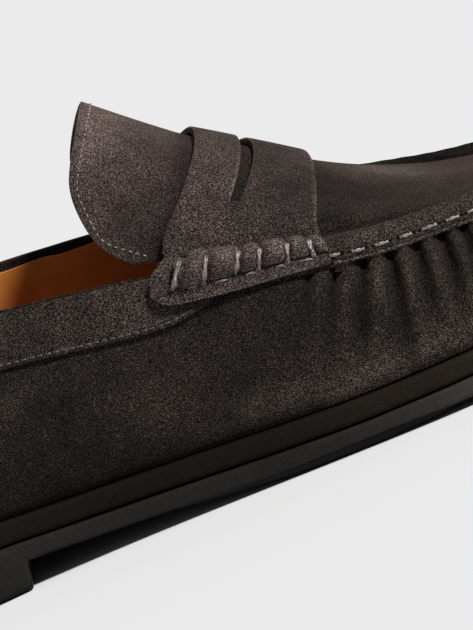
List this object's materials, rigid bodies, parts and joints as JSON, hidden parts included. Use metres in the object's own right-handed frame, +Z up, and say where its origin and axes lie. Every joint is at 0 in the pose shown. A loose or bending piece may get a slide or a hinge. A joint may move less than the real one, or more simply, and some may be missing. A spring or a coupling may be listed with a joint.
{
  "type": "loafer",
  "caption": "Suede moccasin-toe loafer with slotted saddle strap, thread-bound strap ends, standing tongue, stitched collar panel, tan lining and a low-heeled rubber sole.",
  "frame": {"origin": "middle of the shoe's footprint box, on the floor", "axes": "+X from heel to toe, +Y to the inner (medial) side, +Z up"},
  "size_m": [0.3, 0.1014, 0.0956],
  "materials": {
    "outsole_rubber": "smooth satin black rubber",
    "midsole_rubber": "dull black rubber slip",
    "insole_leather": "smooth tan leather",
    "upper_suede": "dark taupe suede with short nap",
    "strap_suede": "dark taupe suede with raw cut edges"
  },
  "bodies": {
    "root": {"outsole": "outsole_rubber", "midsole": "midsole_rubber", "insole": "insole_leather", "upper": "upper_suede", "collar_band": "upper_suede", "tongue": "upper_suede", "strap": "strap_suede", "beef_roll_lateral": "strap_suede", "beef_roll_medial": "strap_suede"}
  },
  "joints": []
}
